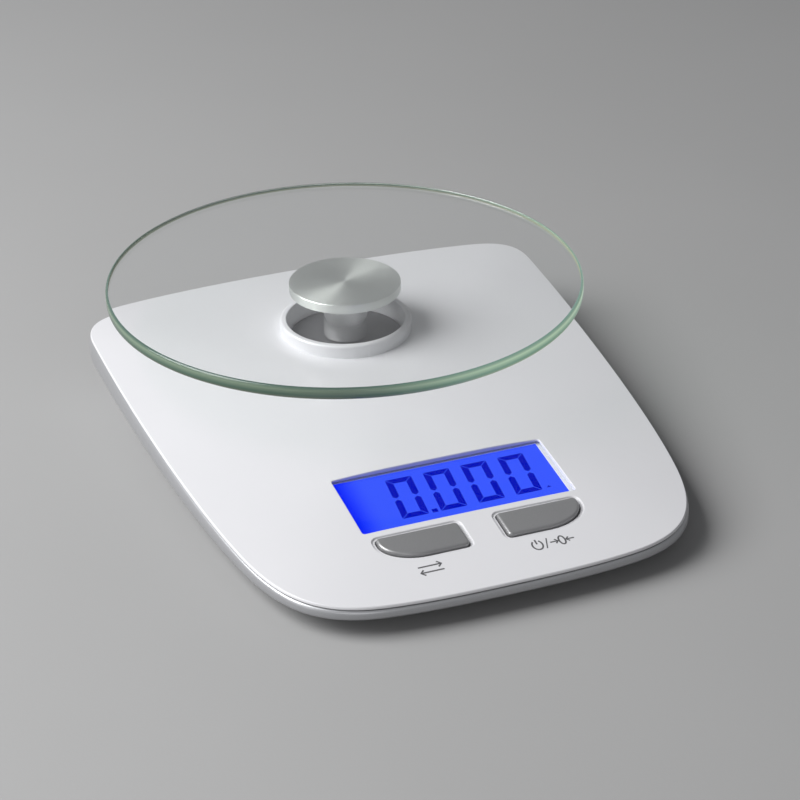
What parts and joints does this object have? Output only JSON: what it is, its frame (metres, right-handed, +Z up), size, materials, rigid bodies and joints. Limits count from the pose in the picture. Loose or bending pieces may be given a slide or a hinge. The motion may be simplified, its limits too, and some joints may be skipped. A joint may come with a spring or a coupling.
{
  "type": "kitchen scale",
  "caption": "Digital kitchen scale with a round glass platter on a central hub, a wedge-shaped housing, a backlit display and two buttons.",
  "frame": {"origin": "centre of the scale's footprint, on the surface it stands on", "axes": "+X to the user's right, -Y towards the user and the display, +Z up"},
  "size_m": [0.1626, 0.2262, 0.0445],
  "materials": {
    "tempered_glass": "clear with polished green edge",
    "brushed_aluminium": "spun brushed",
    "bare_aluminium": "milled",
    "silver_metal": "satin",
    "dark_plastic": "fine texture",
    "white_gloss": "gloss",
    "silver_shell": "satin silver paint",
    "silver_button": "satin silver paint",
    "clear_lens": "clear",
    "blue_lcd": "backlit blue",
    "white_plastic": "diffusing",
    "connector_rubber": "striped elastomer",
    "green_board": "solder mask",
    "black_epoxy": "moulded",
    "capacitor_sleeve": "sleeve",
    "nickel": "plated",
    "steel": "zinc plated",
    "foot_rubber": "matt",
    "white_silicone": "matt",
    "cell_wrap": "printed film",
    "red_insulation": "matt",
    "black_insulation": "matt"
  },
  "bodies": {
    "housing": {"aaa_cell_left": "cell_wrap", "aaa_cell_right": "cell_wrap", "battery_lead_black": "black_insulation", "battery_lead_red": "red_insulation", "board_screw_1": "steel", "board_screw_2": "steel", "board_screw_3": "steel", "bottom_shell": "silver_shell", "bridge_contact": "nickel", "bridge_spring": "nickel", "capacitor": "capacitor_sleeve", "controller_chip": "black_epoxy", "crystal": "nickel", "display_lens": "clear_lens", "elastomer_connector": "connector_rubber", "fixed_end_screw_1": "steel", "fixed_end_screw_2": "steel", "foot_back_left": "foot_rubber", "foot_back_right": "foot_rubber", "foot_front_left": "foot_rubber", "foot_front_right": "foot_rubber", "gauge_cover": "white_silicone", "gauge_leads": "white_silicone", "housing_screw_1": "steel", "housing_screw_2": "steel", "housing_screw_3": "steel", "housing_screw_4": "steel", "lcd_backlight": "white_plastic", "lcd_panel": "blue_lcd", "load_cell": "bare_aluminium", "load_cell_plate": "steel", "main_board": "green_board", "negative_contact": "nickel", "negative_spring": "nickel", "positive_contact": "nickel", "tare_switch": "black_epoxy", "top_cover": "white_gloss", "unit_switch": "black_epoxy"},
    "platter": {"glass_platter": "tempered_glass", "hub_disc": "brushed_aluminium", "hub_post": "silver_metal", "hub_screw": "steel", "platter_carrier": "dark_plastic", "free_end_screw_1": "steel", "free_end_screw_2": "steel"},
    "unit_key": {"unit_button": "silver_button"},
    "tare_key": {"tare_button": "silver_button"},
    "unit_switch_plunger": {"unit_plunger": "dark_plastic"},
    "tare_switch_plunger": {"tare_plunger": "dark_plastic"},
    "door": {"battery_door": "silver_shell"}
  },
  "joints": [
    {"name": "platter_load", "type": "slide", "parent": "housing", "child": "platter", "axis": [0, 0, 1], "range_m": [-0.0004, 0], "stiffness_N_per_m": 122500, "springref_m": 0.00002},
    {"name": "unit_press", "type": "slide", "parent": "housing", "child": "unit_key", "axis": [0, -0.1162, 0.9932], "range_m": [-0.0005, 0], "stiffness_N_per_m": 1000, "springref_m": 0.0005},
    {"name": "tare_press", "type": "slide", "parent": "housing", "child": "tare_key", "axis": [0, -0.1162, 0.9932], "range_m": [-0.0005, 0], "stiffness_N_per_m": 1000, "springref_m": 0.0005},
    {"name": "unit_switch_press", "type": "slide", "parent": "housing", "child": "unit_switch_plunger", "axis": [0, -0.1162, 0.9932], "range_m": [-0.00025, 0]},
    {"name": "tare_switch_press", "type": "slide", "parent": "housing", "child": "tare_switch_plunger", "axis": [0, -0.1162, 0.9932], "range_m": [-0.00025, 0]},
    {"name": "battery_door_hinge", "type": "hinge", "parent": "housing", "child": "door", "pos_m": [0.038, 0.0451, 0.004], "axis": [1, 0, 0], "range_deg": [0, 50]}
  ],
  "couplings": [
    {"joint": "unit_switch_press", "follows": "unit_press", "ratio": 0.5},
    {"joint": "tare_switch_press", "follows": "tare_press", "ratio": 0.5}
  ]
}
